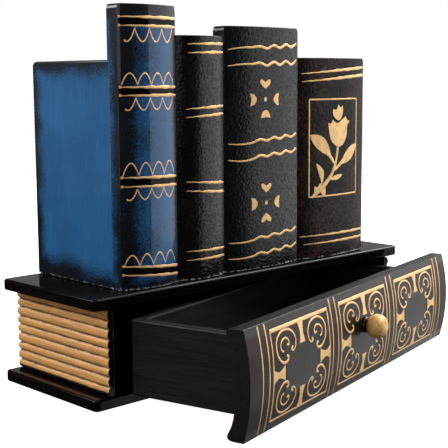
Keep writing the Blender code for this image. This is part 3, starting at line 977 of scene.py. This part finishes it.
class ORGANISER_OT_spines(Operator):
    """Model the four rounded spines of the upright books"""

    bl_idname = "organiser.spines"
    bl_label = "Spines"

    def execute(self, context):
        sizes, colours = sizes_and_colours()
        bulge = sizes.spine_bulge
        for node, slot in SPINES:
            low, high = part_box(node)
            middle, half = (low.x + high.x) / 2, (high.x - low.x) / 2
            made = block(f"book_{node}", (low.x, low.y + bulge, low.z), high)
            columns = spread(low.x, high.x, SPINE_COLUMNS)
            slice_across(0, columns)
            front = low.y + bulge + MM
            push_rows(
                made, 0, lambda co: co.y < front,
                [(x, (0, -arc_out(x - middle, half, bulge), 0)) for x in columns],
            )
            pick(made, "EDGE", lambda e: all(
                v.co.z > high.z - SAME_PLACE and min(v.co.x - low.x, high.x - v.co.x) < SAME_PLACE
                for v in e.verts
            ))
            bpy.ops.mesh.bevel(offset=sizes.spine_corner, segments=6, affect="EDGES")
            bpy.ops.object.mode_set(mode="OBJECT")
            round_edges(made, sizes.board_edge, 4, 50)
            if node in LEATHERS:
                name, base, worn, gloss = LEATHERS[node]
                finish = leather_paint(name, getattr(colours, base), getattr(colours, worn), gloss)
            else:
                finish = blue_lacquer(
                    "blue_spine_lacquer", lambda paint: spine_edges(paint, node),
                    lambda paint: spine_ends_and_painted_shade(paint, node), 8 * MM,
                )
            finished(made, "carcass", slot, finish, node)
        return {"FINISHED"}


class ORGANISER_OT_sides(Operator):
    """Model the side boards of the first and the last book"""

    bl_idname = "organiser.sides"
    bl_label = "Side boards"

    def execute(self, context):
        sizes, colours = sizes_and_colours()
        for name, node, slot in (
            ("side_left", "holder_left_side", "blue_paint"),
            ("side_right", "holder_right_side", "brown_paint"),
        ):
            low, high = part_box(node)
            lap = Vector((0, 2 * sizes.board_edge, 0))
            made = block(name, low - lap, high)
            pick(made, "EDGE", lambda e: all(
                v.co.y > high.y - MM and v.co.z > low.z + MM for v in e.verts
            ) and abs(e.verts[0].co.x - e.verts[1].co.x) > MM)
            bpy.ops.mesh.bevel(offset=sizes.side_corner, segments=5, affect="EDGES")
            bpy.ops.object.mode_set(mode="OBJECT")
            round_edges(made, sizes.board_edge, 4)
            if slot == "blue_paint":

                def edge(paint):
                    return paint.middle_of(*paint.face_distances(low - Vector((0, 30 * MM, 0)), high))

                def shade(paint):
                    _, y, z = paint.axes()
                    band = paint.span(z, low.z + 5 * MM, low.z + 21 * MM, 1.0, 0.0)
                    back = paint.span(y, low.y + 2 * MM, low.y + 30 * MM, 0.35, 1.0)
                    return paint.sums("MULTIPLY", band, back)

                finish = blue_lacquer("blue_side_lacquer", edge, shade, 15 * MM)
            else:
                finish = leather_paint("side_leather", colours.brown, colours.side_worn, 0.7)
            finished(made, "carcass", slot, finish, node)
        return {"FINISHED"}


def scallops(start, pitch, base, height, width):
    """Four arches on a base line, up for a positive height and down for a negative one.

    The brush starts a hanging row below the line, so that its first arch is a hook.
    """
    lines = []
    for number in range(4):
        left = start + pitch * number
        line = []
        hook = 4 if height < 0 and number == 0 else 0
        for i in range(hook, 13):
            t = i / 12
            lift = 0.1 + 0.9 * abs(math.sin(math.pi * t)) ** 0.85
            line.append((left + pitch * t, base + height * lift, width * (0.75 + 0.4 * lift)))
        lines.append(line)
    return lines


def tapered(start, end, thin, thick):
    """A brushed line, a little unsteady, that starts thin and widens over its first part."""
    line = []
    for x, y in straight(start, end):
        t = (x - start[0]) / (end[0] - start[0])
        unsteady = math.sin(0.9 * x + 1.7 * start[1])
        width = thin + (thick - thin) * min(1.0, t / 0.6)
        line.append((x, y + 0.1 * unsteady, width * (1 + 0.14 * math.sin(0.53 * x - start[1]))))
    x, y, width = line[-1]
    line[-1] = (x, y, width * 0.7)
    return line


class ORGANISER_OT_blue_gilding(Operator):
    """Paint the gold lines, scallops and black bands of the blue book"""

    bl_idname = "organiser.blue_gilding"
    bl_label = "Blue book gilding"

    def execute(self, context):
        place = on_spine("spine_blue")
        # Upper line's and lower line's height at the left edge, and how far both drop to the right
        pairs = ((209.2, 204.7, 0.0), (172.1, 167.8, 0.2), (123.7, 118.9, 1.2), (75.2, 70.5, 3.6))
        left, right = -104.9, -65.4
        lines, bands = [], []
        for upper, lower, drop in pairs:
            for height in (upper, lower):
                lines.append(tapered((left, height), (right, height - drop), 0.6, 1.7))
                lines.append([(left - 0.1, height, 1.6), (left + 1.2, height, 1.3)])
            bands.append([
                (left - 0.2, upper), (left - 0.2, lower), (right + 0.2, lower - drop),
                (right + 0.2, upper - drop),
            ])
        # Left end, pitch, base height, rise and line width of each row of scallops
        for row in (
            (-105.0, 9.15, 204.2, -8.0, 0.66), (-103.6, 8.95, 172.6, 7.0, 0.66),
            (-105.0, 9.15, 167.2, -7.4, 0.66), (-103.8, 8.95, 123.8, 7.6, 0.64),
            (-105.0, 9.15, 117.9, -6.6, 0.64), (-104.0, 8.95, 73.9, 7.2, 0.64),
        ):
            lines += scallops(*row)
        gild("blue_book_gilding", "carcass", place, lines)
        band = wrap(lay_shapes("blue_book_bands", bands, BAND_HEIGHT), place)
        finished(band, "carcass", "black_lacquer", black_lacquer("band_black", *NO_EDGES))
        return {"FINISHED"}


class ORGANISER_OT_brown_gilding(Operator):
    """Paint the gold lines of the brown book"""

    bl_idname = "organiser.brown_gilding"
    bl_label = "Brown book gilding"

    def execute(self, context):
        # Height of each line at its left and right end
        rows = (
            (195.7, 196.2), (190.8, 191.4), (159.5, 160.8), (154.8, 156.4),
            (118.4, 116.2), (113.3, 110.9), (78.5, 77.7), (73.4, 73.1),
        )
        lines = [tapered((-57.8 if a > 180 else -59.4, a), (-28.9, b), 0.35, 1.5) for a, b in rows]
        gild("brown_book_gilding", "carcass", on_spine("spine_brown"), lines)
        return {"FINISHED"}


def wavy(left, right, start, rise, dip, zigzag):
    """A brushed line that dips, then climbs to the right in a zigzag and widens."""
    points = []
    for i in range(11):
        t = i / 10
        height = start + rise * t - dip * math.sin(math.pi * min(1.0, 2.5 * t))
        if i > 3:
            height += zigzag * (-1) ** i * (0.6 + 0.5 * t)
        points.append((left + (right - left) * t, height, 0.5 + min(1.0, t / 0.4)))
    return curved(points, 4)


def petals(x, y, upturned):
    """Four small shapes round a dot: a heart above, half moons beside, a dome or a heart below."""
    heart = [(-4.3, 11.0), (-2.9, 11.8), (0, 10.2), (0, 10.2), (2.9, 11.8), (4.3, 11.0), (3.6, 8.9),
             (0, 6.3), (0, 6.3), (-3.2, 8.6)]
    moon = [(-12.2, 3.6), (-12.2, 3.6), (-9.2, 2.9), (-7.1, 0.0), (-8.9, -2.9), (-12.0, -3.9),
            (-12.0, -3.9), (-11.5, 0.0)]
    dome = [(0.4, -6.3), (2.9, -7.8), (4.2, -11.0), (4.2, -11.0), (0.2, -10.6), (-3.8, -11.1),
            (-3.8, -11.1), (-2.6, -7.9)]
    low_heart = [(a, -b) for a, b in heart][::-1]
    loops = [heart, moon, [(-a, b) for a, b in moon][::-1], low_heart if upturned else dome]
    loops.append([
        (1.15 * math.cos(i * math.pi / 4), 1.35 * math.sin(i * math.pi / 4)) for i in range(8)
    ])
    return [[(x + a, y + b) for a, b in curved_loop(loop)] for loop in loops]


class ORGANISER_OT_green_gilding(Operator):
    """Paint the wavy gold lines and the petals of the green-black book"""

    bl_idname = "organiser.green_gilding"
    bl_label = "Green book gilding"

    def execute(self, context):
        # Each line's height at the left, rise, dip and zigzag
        rows = (
            (193.0, 3.4, -0.7, 0.95), (183.6, 2.4, -0.6, 1.1), (138.2, 3.3, 1.1, 0.8),
            (128.6, 3.4, 1.5, 0.8), (79.2, 3.4, 1.0, 0.75), (69.6, 3.0, 0.9, 0.8),
        )
        lines = [wavy(-25.2, 33.6, *row) for row in rows]
        shapes = petals(2.6, 163.9, False) + petals(3.3, 101.6, True)
        gild("green_book_gilding", "carcass", on_spine("spine_green"), lines, shapes)
        return {"FINISHED"}


def leaf(root, tip, belly, turn=0.0):
    """A pointed leaf between two points, as wide as belly, that leans to one side by turn."""
    along = Vector(tip) - Vector(root)
    across = Vector((-along.y, along.x)).normalized()
    steps = 12
    sides = []
    for side in (1, -1):
        row = []
        for i in range(steps + 1):
            t = i / steps
            swell = math.sin(math.pi * t ** 1.15) ** 0.85 if 0 < t < 1 else 0
            spot = Vector(root) + along * t + across * (
                turn * math.sin(math.pi * t) + side * belly / 2 * swell
            )
            row.append(tuple(spot))
        sides.append(row)
    return sides[1] + sides[0][-2:0:-1]


class ORGANISER_OT_flower_gilding(Operator):
    """Paint the framed flower and the lines of the last book"""

    bl_idname = "organiser.flower_gilding"
    bl_label = "Flower"

    def execute(self, context):
        lines = [
            tapered((38.4, 179.0), (99.0, 183.0), 0.4, 1.75),
            tapered((38.8, 174.1), (99.0, 178.1), 0.4, 1.75),
            tapered((37.4, 76.3), (99.0, 75.9), 0.4, 1.5),
            tapered((40.4, 71.1), (99.0, 71.1), 0.4, 1.5),
        ]
        lines += framed(44.4, 90.2, 101.2, 162.9, 0.95, 0.95)
        stem = [(70.0, 134.5, 2.3), (68.6, 126.5, 2.1), (66.9, 120.5, 2.3), (63.6, 114.6, 2.5),
                (58.4, 109.3, 2.9), (53.0, 105.0, 2.6), (46.6, 101.0, 1.8)]
        lines.append(curved(stem, 6))
        lines.append(curved([(65.9, 122.0, 2.2), (62.2, 126.4, 2.4), (58.8, 129.0, 2.4)], 5))
        lines.append(curved([(66.4, 117.4, 1.8), (71.6, 120.6, 2.2), (76.5, 124.2, 2.6)], 5))
        # The flower's cup and its inner petals
        cup = [(71.6, 132.4), (75.8, 134.6), (78.7, 139.8), (79.0, 145.0), (81.8, 148.6), (81.8, 148.6),
               (79.2, 149.4), (77.4, 151.7), (77.4, 151.7), (73.6, 149.6), (69.4, 147.6), (66.6, 148.2),
               (64.4, 150.0), (64.4, 150.0), (62.9, 147.5), (60.2, 147.9), (60.2, 147.9), (61.2, 142.6),
               (62.8, 137.2), (66.6, 133.6)]
        bud = [(69.5, 149.3), (72.6, 150.6), (74.4, 154.6), (74.3, 158.8), (74.3, 158.8), (72.2, 157.4),
               (69.9, 159.5), (69.9, 159.5), (68.0, 156.2), (64.6, 156.7), (64.6, 156.7), (65.0, 152.6)]
        shapes = [curved_loop(cup), curved_loop(bud)]
        shapes.append(leaf((63.4, 125.9), (44.9, 140.8), 8.6, -1.2))
        shapes.append(leaf((71.6, 120.6), (90.0, 133.6), 7.4, -0.6))
        shapes.append(leaf((55.0, 108.4), (50.2, 122.6), 4.2, -2.0))
        shapes.append(leaf((61.4, 111.8), (74.4, 114.0), 3.2, -0.4))
        sepal = [(47.2, 101.4), (52.6, 104.4), (54.6, 108.4), (53.4, 109.6), (51.2, 107.2),
                 (48.8, 108.0), (48.6, 104.2)]
        foot = [(54.2, 107.6), (57.6, 107.4), (58.2, 102.6), (56.0, 101.8), (53.8, 104.4)]
        shapes += [curved_loop(sepal), curved_loop(foot)]
        gild("flower_gilding", "carcass", on_spine("spine_tulip"), lines, shapes)
        return {"FINISHED"}


class ORGANISER_OT_drawer_front(Operator):
    """Model the drawer's front, rounded like the spine of the lying book"""

    bl_idname = "organiser.drawer_front"
    bl_label = "Drawer front"

    def execute(self, context):
        sizes, colours = sizes_and_colours()
        low, high = front_heights()
        half_length = sizes.front_length / 2
        middle, half = (low + high) / 2, (high - low) / 2
        made = block(
            "drawer_face", (-half_length, 0, low), (half_length, sizes.front_back, high)
        )
        rows = spread(low, high, FRONT_ROWS)
        slice_across(2, rows)
        push_rows(
            made, 2, lambda co: co.y < sizes.front_back / 2,
            [(z, (0, -arc_out(z - middle, half, sizes.front_bulge), 0)) for z in rows],
        )
        reach = half - sizes.front_lip
        hollow = sizes.front_back - sizes.front_waist
        push_rows(
            made, 2, lambda co: co.y > sizes.front_back - SAME_PLACE,
            [(z, (0, -hollow * (1 - min(1, abs(z - middle) / reach) ** 4), 0)) for z in rows
             if abs(z - middle) < reach],
        )
        pick(made, "EDGE", lambda e: all(
            v.co.y > sizes.front_back - SAME_PLACE and min(v.co.z - low, high - v.co.z) <= SAME_PLACE
            for v in e.verts
        ))
        bpy.ops.mesh.bevel(offset=sizes.front_lip, segments=6, affect="EDGES", clamp_overlap=False)
        bpy.ops.object.mode_set(mode="OBJECT")
        round_edges(made, sizes.front_edge, 4, 42)
        put_in_drawer(made)
        turn = drawer_matrix().to_euler().z
        finish = drawer_paint("drawer_front_paint", turn)
        finished(made, "drawer", "drawer_stain", finish, "drawer_front")
        ahead = Vector((math.sin(turn), -math.cos(turn), 0))
        rim = stained_wood("drawer_rim_stain", colours.rim, turn, 0, 0.12, 1.5)
        second_finish(made, rim, lambda face: face.normal.dot(ahead) < 0.6)
        return {"FINISHED"}


def volute():
    """The two strokes of one corner scroll, for a panel's upper left, from its corner."""
    outer = [(20.6, -11.4, 1.5), (19.0, -12.6, 1.1), (21.4, -13.4, 0.9), (23.8, -10.8, 1.0),
             (24.0, -7.2, 1.1), (21.2, -3.6, 1.1), (16.2, -1.9, 1.1), (10.0, -2.2, 1.1),
             (5.4, -5.2, 1.1), (4.2, -9.6, 1.2), (5.6, -14.2, 1.2), (10.0, -17.8, 1.4),
             (14.2, -17.6, 1.5), (15.4, -15.6, 1.4), (13.4, -14.8, 1.3)]
    inner = [(11.2, -12.2, 1.0), (9.2, -11.4, 1.1), (8.4, -8.8, 1.0), (10.6, -6.4, 1.0),
             (14.2, -5.8, 1.0), (16.8, -7.6, 1.0), (16.6, -9.6, 1.1), (14.6, -9.2, 1.2)]
    return [outer, inner]


class ORGANISER_OT_drawer_gilding(Operator):
    """Paint the gold panels, scrolls and stripes of the drawer's front"""

    bl_idname = "organiser.drawer_gilding"
    bl_label = "Drawer gilding"

    def execute(self, context):
        # A panel's lower and upper line
        low, high = 5.8, 52.0
        pitch = PANEL_PITCH / MM
        middle = (low + high) / 2
        lines, tabs = [], []
        for number in range(4):
            for off in (-3.2, 3.2):
                u = (number - 1.5) * pitch + off
                lines.append(straight((u, 1.6, 0.7), (u, 56.7, 1.3)))
        # A tab between two scrolls, from the panel's middle: above it and to its left
        upright = [(-3.0, 22.9), (3.0, 22.9), (3.0, 22.9), (1.6, 16.8), (2.9, 11.6), (2.9, 11.6),
                   (-2.9, 11.6), (-2.9, 11.6), (-1.6, 16.8), (-3.0, 22.9)]
        lying = [(-30.6, 3.6), (-30.6, -3.6), (-30.6, -3.6), (-25.4, -1.6), (-19.2, -4.0),
                 (-19.2, -4.0), (-19.2, 4.0), (-19.2, 4.0), (-25.4, 1.6), (-30.6, 3.6)]
        for centre in (-pitch, 0, pitch):
            lines += framed(centre - PANEL_HALF, centre + PANEL_HALF, low, high, 1.1, 1.9, 3)
            for across in (1, -1):
                for up in (1, -1):
                    for stroke in volute():
                        lines.append([
                            (centre - across * (PANEL_HALF - x), middle + up * (high - middle + y), width)
                            for x, y, width in curved(stroke, 5)
                        ])
            for up in (1, -1):
                tabs.append([(centre + a, middle + up * b) for a, b in curved_loop(upright)])
                tabs.append([(centre + up * a, middle + b) for a, b in curved_loop(lying)])
        gild("drawer_gilding", "drawer", on_front(), lines, tabs, axis=1)
        return {"FINISHED"}


class ORGANISER_OT_knob(Operator):
    """Turn the drawer's knob, ring by ring"""

    bl_idname = "organiser.knob"
    bl_label = "Knob"

    def execute(self, context):
        sizes = bpy.context.scene.organiser_sizes
        head, total = sizes.knob_head, sizes.knob_out
        low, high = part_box("drawer_knob")
        half = sizes.knob_depth / 2
        profile = list(KNOB_NECK)
        # The rings of the head, without the middle of its back, where the neck meets it
        for i in range(6, 24):
            a = -math.pi / 2 + math.pi * i / 24
            profile.append((head * math.cos(a) ** 0.8, total - half + half * math.sin(a)))
        clear_selection()
        bpy.ops.mesh.primitive_circle_add(vertices=KNOB_SIDES, radius=profile[0][0], fill_type="NGON")
        made = bpy.context.object
        made.name = made.data.name = "knob"
        bpy.ops.object.mode_set(mode="EDIT")
        bpy.ops.mesh.select_mode(type="FACE")
        bpy.ops.mesh.select_all(action="SELECT")
        for (r0, h0), (r1, h1) in zip(profile, profile[1:]):
            bpy.ops.mesh.extrude_region_move(TRANSFORM_OT_translate={"value": (0, 0, h1 - h0)})
            bpy.ops.transform.resize(value=(r1 / r0, r1 / r0, 1))
        bpy.ops.mesh.extrude_region_move(TRANSFORM_OT_translate={"value": (0, 0, total - profile[-1][1])})
        bpy.ops.transform.resize(value=(0.05, 0.05, 1))
        face_outwards(made)
        smooth(made, 60)
        seat = Vector((0, -sizes.front_bulge - KNOB_GAP, (low.z + high.z) / 2))
        put_in_drawer(made, Matrix.Translation(seat) @ Matrix.Rotation(math.radians(90), 4, "X"))
        centre = drawer_matrix() @ Vector((0, -sizes.front_bulge - total + half, seat.z))
        outwards = drawer_matrix().to_3x3() @ Vector((0, -1, 0))
        gold = knob_gold("knob_gold", centre, drawer_matrix() @ seat, outwards)
        finished(made, "drawer", "gold_paint", gold, "drawer_knob")
        return {"FINISHED"}


class ORGANISER_OT_finishes(Operator):
    """Finish the boards, screws and pin that keep their frame shapes"""

    bl_idname = "organiser.finishes"
    bl_label = "Other finishes"

    def execute(self, context):
        colours = bpy.context.scene.organiser_colours
        turn = drawer_matrix().to_euler().z
        along = stained_wood("drawer_wood_along", colours.stain, turn, 0, 0.12)
        deep = stained_wood("drawer_wood_deep", colours.stain, turn, 1, 0.12)
        steel = plain_steel("steel", colours.steel)
        beech = stained_wood("beech", colours.beech, 0, 2, 0.1, 1.2)
        given = {
            "drawer_inner_front": along, "drawer_back": along, "drawer_floor": along,
            "drawer_left_side": deep, "drawer_right_side": deep,
            "stop_pin": beech, "knob_screw": steel,
        }
        for number in range(1, 5):
            given[f"drawer_brad_{number}"] = deep
            given[f"holder_screw_{number}"] = steel
        for node in ("holder_back", "divider_1", "divider_2", "divider_3"):
            given[node] = black_lacquer(f"{node}_lacquer", *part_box(node))
        for node, finish in given.items():
            mesh = frame["nodes"][node].data
            mesh.materials.clear()
            mesh.materials.append(finish)
        return {"FINISHED"}


class ORGANISER_OT_stage(Operator):
    """Set the floor, the studio lights and the camera"""

    bl_idname = "organiser.stage"
    bl_label = "Stage"

    def softbox(self, name, place, target, width, height, glow):
        """An area light that faces a point. Its power gives it this radiance."""
        clear_selection()
        bpy.ops.object.light_add(type="AREA", location=place)
        lamp = bpy.context.object
        lamp.name = name
        lamp.data.shape = "RECTANGLE"
        lamp.data.size, lamp.data.size_y = width, height
        lamp.data.energy = glow * math.pi * width * height
        lamp.rotation_euler = (Vector(target) - Vector(place)).to_track_quat("-Z", "Y").to_euler()
        lamp.visible_camera = False

    def execute(self, context):
        stage = bpy.context.scene.organiser_stage
        clear_selection()
        bpy.ops.mesh.primitive_plane_add(size=6.0, location=(0, 0, -0.5 * MM))
        floor = context.object
        floor.name = "floor"
        paper = Paint("pale_floor", Roughness=0.9)
        paper.set(
            Emission_Color=(1.0, 1.0, 1.0), Emission_Strength=0.97,
            Base_Color=paper.mix(paper.noise(3, 2), (0.88, 0.88, 0.88), (0.92, 0.92, 0.92)),
        )
        floor.data.materials.append(paper.material)
        floor.visible_glossy = False
        floor.visible_diffuse = False
        floor.visible_shadow = False
        aim = Vector((0, -0.02, 0.10))

        def around(azimuth, distance, height):
            a = math.radians(azimuth)
            return aim + Vector((math.sin(a) * distance, -math.cos(a) * distance, height - aim.z))

        for name, (azimuth, distance, height, width, tall, down, glow, share) in SOFTBOXES.items():
            place = around(azimuth, distance, height)
            target = around(azimuth, 0, down)
            self.softbox(name, place, target, width, tall, share * getattr(stage, glow))
        self.softbox("top_softbox", (0.1, 0.5, 1.4), (0.1, 0.2, 0), 1.2, 0.8, stage.top_glow)
        world = bpy.data.worlds.new("studio")
        world.use_nodes = True
        tree = world.node_tree
        seen = tree.nodes.new("ShaderNodeLightPath").outputs["Is Camera Ray"]
        both = tree.nodes.new("ShaderNodeMixShader")
        tree.links.new(seen, both.inputs[0])
        for socket, strength in ((1, stage.room), (2, 1.0)):
            sky = tree.nodes.new("ShaderNodeBackground")
            sky.inputs["Color"].default_value = (1, 1, 1, 1)
            sky.inputs["Strength"].default_value = strength
            tree.links.new(sky.outputs[0], both.inputs[socket])
        tree.links.new(both.outputs[0], tree.nodes["World Output"].inputs[0])
        context.scene.world = world
        context.scene.view_settings.view_transform = "Standard"
        ahead = Vector((
            -math.sin(stage.heading) * math.cos(stage.pitch),
            math.cos(stage.heading) * math.cos(stage.pitch),
            -math.sin(stage.pitch),
        ))
        right = ahead.cross(Vector((0, 0, 1))).normalized()
        up = right.cross(ahead)
        c, s = math.cos(stage.roll), math.sin(stage.roll)
        right, up = c * right + s * up, -s * right + c * up
        bpy.ops.object.camera_add(location=stage.camera_place)
        camera = context.object
        camera.name = "camera"
        camera.rotation_euler = Matrix((right, up, -ahead)).transposed().to_euler()
        camera.data.lens = stage.lens
        camera.data.sensor_width = 36.0
        camera.data.clip_start, camera.data.clip_end = 0.01, 20.0
        context.scene.camera = camera
        return {"FINISHED"}


class ORGANISER_PT_panel(Panel):
    """Lists the organiser's pieces"""

    bl_idname = "ORGANISER_PT_panel"
    bl_label = "Book desk organiser"
    bl_space_type = "VIEW_3D"
    bl_region_type = "UI"
    bl_category = "Organiser"

    def draw(self, context):
        for operator in OPERATORS:
            self.layout.operator(operator.bl_idname)
        for group in ("organiser_sizes", "organiser_colours", "organiser_stage"):
            values = getattr(context.scene, group)
            box = self.layout.box()
            for name in values.__annotations__:
                box.prop(values, name)


OPERATORS = (
    ORGANISER_OT_covers,
    ORGANISER_OT_pages,
    ORGANISER_OT_spines,
    ORGANISER_OT_sides,
    ORGANISER_OT_blue_gilding,
    ORGANISER_OT_brown_gilding,
    ORGANISER_OT_green_gilding,
    ORGANISER_OT_flower_gilding,
    ORGANISER_OT_drawer_front,
    ORGANISER_OT_drawer_gilding,
    ORGANISER_OT_knob,
    ORGANISER_OT_finishes,
    ORGANISER_OT_stage,
)
CLASSES = (OrganiserSizes, OrganiserColours, OrganiserStage, *OPERATORS, ORGANISER_PT_panel)


def register():
    for cls in CLASSES:
        bpy.utils.register_class(cls)
    bpy.types.Scene.organiser_sizes = PointerProperty(type=OrganiserSizes)
    bpy.types.Scene.organiser_colours = PointerProperty(type=OrganiserColours)
    bpy.types.Scene.organiser_stage = PointerProperty(type=OrganiserStage)


def unregister():
    del bpy.types.Scene.organiser_stage
    del bpy.types.Scene.organiser_colours
    del bpy.types.Scene.organiser_sizes
    for cls in reversed(CLASSES):
        bpy.utils.unregister_class(cls)


def main():
    register()
    for operator in OPERATORS:
        group, name = operator.bl_idname.split(".")
        getattr(getattr(bpy.ops, group), name)()
    clear_selection()


if __name__ == "__main__":
    main()
